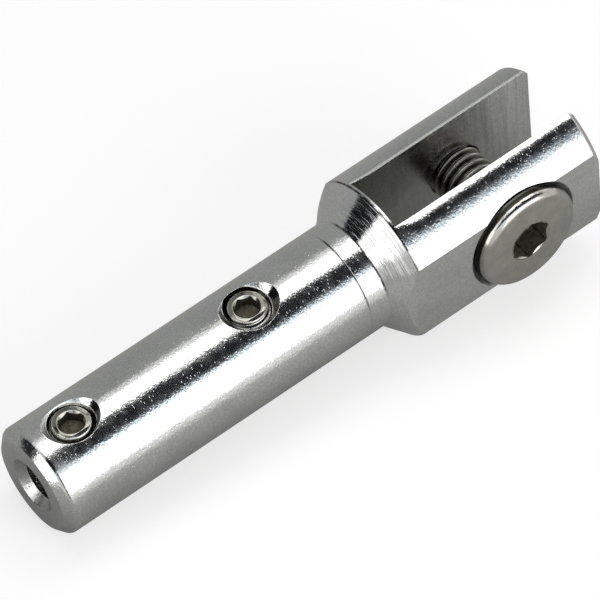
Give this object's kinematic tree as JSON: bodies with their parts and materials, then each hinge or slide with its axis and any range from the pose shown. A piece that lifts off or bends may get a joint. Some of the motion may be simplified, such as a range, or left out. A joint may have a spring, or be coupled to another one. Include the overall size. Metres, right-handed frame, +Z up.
{
  "type": "swageless fork terminal",
  "caption": "Wire rope end fitting: drilled barrel with side set screws, conical shoulder and slotted fork closed by a flat-headed clevis screw.",
  "frame": {"origin": "on the clevis screw's axis, in the middle of the slot, which is also on the axis of the wire bore", "axes": "+X along the barrel towards the fork tips, +Z up out of the slot on the set screws' side, the clevis screw's head on the -Y side"},
  "size_m": [0.0542, 0.0131, 0.0148],
  "materials": {
    "bright_body": "bright plated, with fine turning and milling marks",
    "clevis_screw_steel": "satin stainless steel",
    "set_screw_steel": "fine-turned stainless steel, slightly yellow"
  },
  "bodies": {
    "fork": {"fork_body": "bright_body"},
    "clevis_screw": {"clevis_screw": "clevis_screw_steel"},
    "front_set_screw": {"front_set_screw": "set_screw_steel"},
    "rear_set_screw": {"rear_set_screw": "set_screw_steel"}
  },
  "joints": [
    {"name": "clevis_screw_travel", "type": "slide", "parent": "fork", "child": "clevis_screw", "axis": [0, -1, 0], "range_m": [0, 0.0125]},
    {"name": "front_set_screw_travel", "type": "slide", "parent": "fork", "child": "front_set_screw", "axis": [0, 0, -1], "range_m": [-0.0035, 0.0015]},
    {"name": "rear_set_screw_travel", "type": "slide", "parent": "fork", "child": "rear_set_screw", "axis": [0, 0, -1], "range_m": [-0.0035, 0.0015]}
  ]
}
